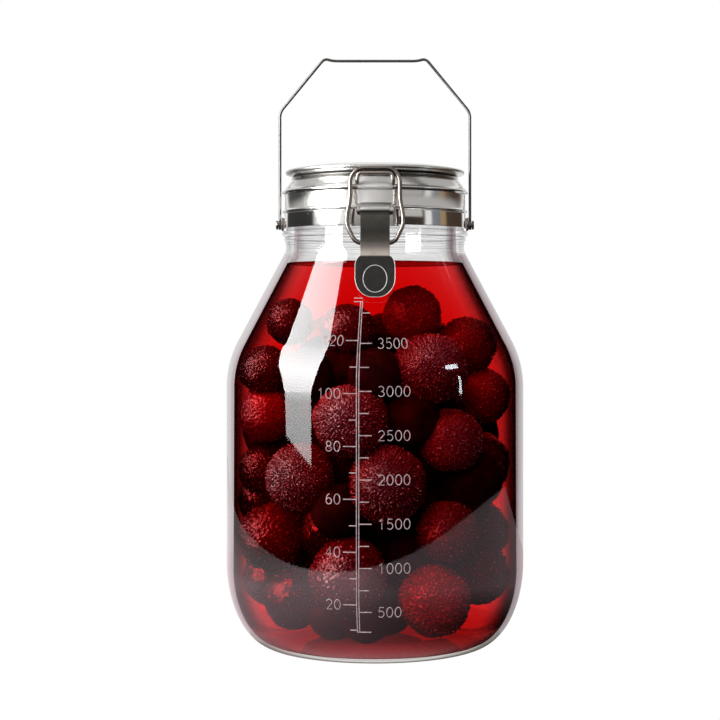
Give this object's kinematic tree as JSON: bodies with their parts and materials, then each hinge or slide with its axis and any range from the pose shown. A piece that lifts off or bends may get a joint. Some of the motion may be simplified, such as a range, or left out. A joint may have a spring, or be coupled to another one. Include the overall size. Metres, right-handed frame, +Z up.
{
  "type": "clip top jar",
  "caption": "Large clear glass jar with a clip-down steel lid and a wire carrying handle, filled with whole red fruit in red liquor.",
  "frame": {"origin": "middle of the foot, on the surface that the jar stands on", "axes": "+Z up along the jar's axis; the clip is at the front on the -Y side; the handle's pivots lie along X"},
  "size_m": [0.172, 0.172, 0.3405],
  "materials": {
    "clear_glass": "clear polished glass",
    "polished_steel": "polished stainless steel sheet and wire",
    "satin_steel": "satin stainless steel lid",
    "dark_steel": "dark satin steel lever",
    "rubber": "black sealing ring",
    "fruit_skin": "grainy dark red fruit skin"
  },
  "bodies": {
    "jar": {"glass_jar": "clear_glass", "neck_band": "polished_steel", "lid_ring": "polished_steel", "lid_disc": "satin_steel", "gasket": "rubber", "lid_hook": "polished_steel", "clip_bracket": "polished_steel", "hinge_lower": "polished_steel", "hinge_upper": "polished_steel", "hinge_pin": "polished_steel", "handle_rivet_left": "polished_steel", "handle_rivet_right": "polished_steel", "fruit_heap": "fruit_skin"},
    "handle": {"handle": "polished_steel"},
    "lever": {"clip_lever": "dark_steel"},
    "loop": {"clip_loop": "polished_steel"}
  },
  "joints": [
    {"name": "handle_swing", "type": "hinge", "parent": "jar", "child": "handle", "pos_m": [0, 0, 0.2433], "axis": [1, 0, 0], "range_deg": [-125, 125]},
    {"name": "clip_lever", "type": "hinge", "parent": "jar", "child": "lever", "pos_m": [0, -0.0576, 0.2484], "axis": [-1, 0, 0], "range_deg": [0, 150]},
    {"name": "clip_loop", "type": "hinge", "parent": "lever", "child": "loop", "pos_m": [0, -0.0601, 0.2304], "axis": [-1, 0, 0], "range_deg": [-330, 0]}
  ],
  "couplings": [
    {"joint": "clip_loop", "follows": "clip_lever", "ratio": -2.2}
  ]
}
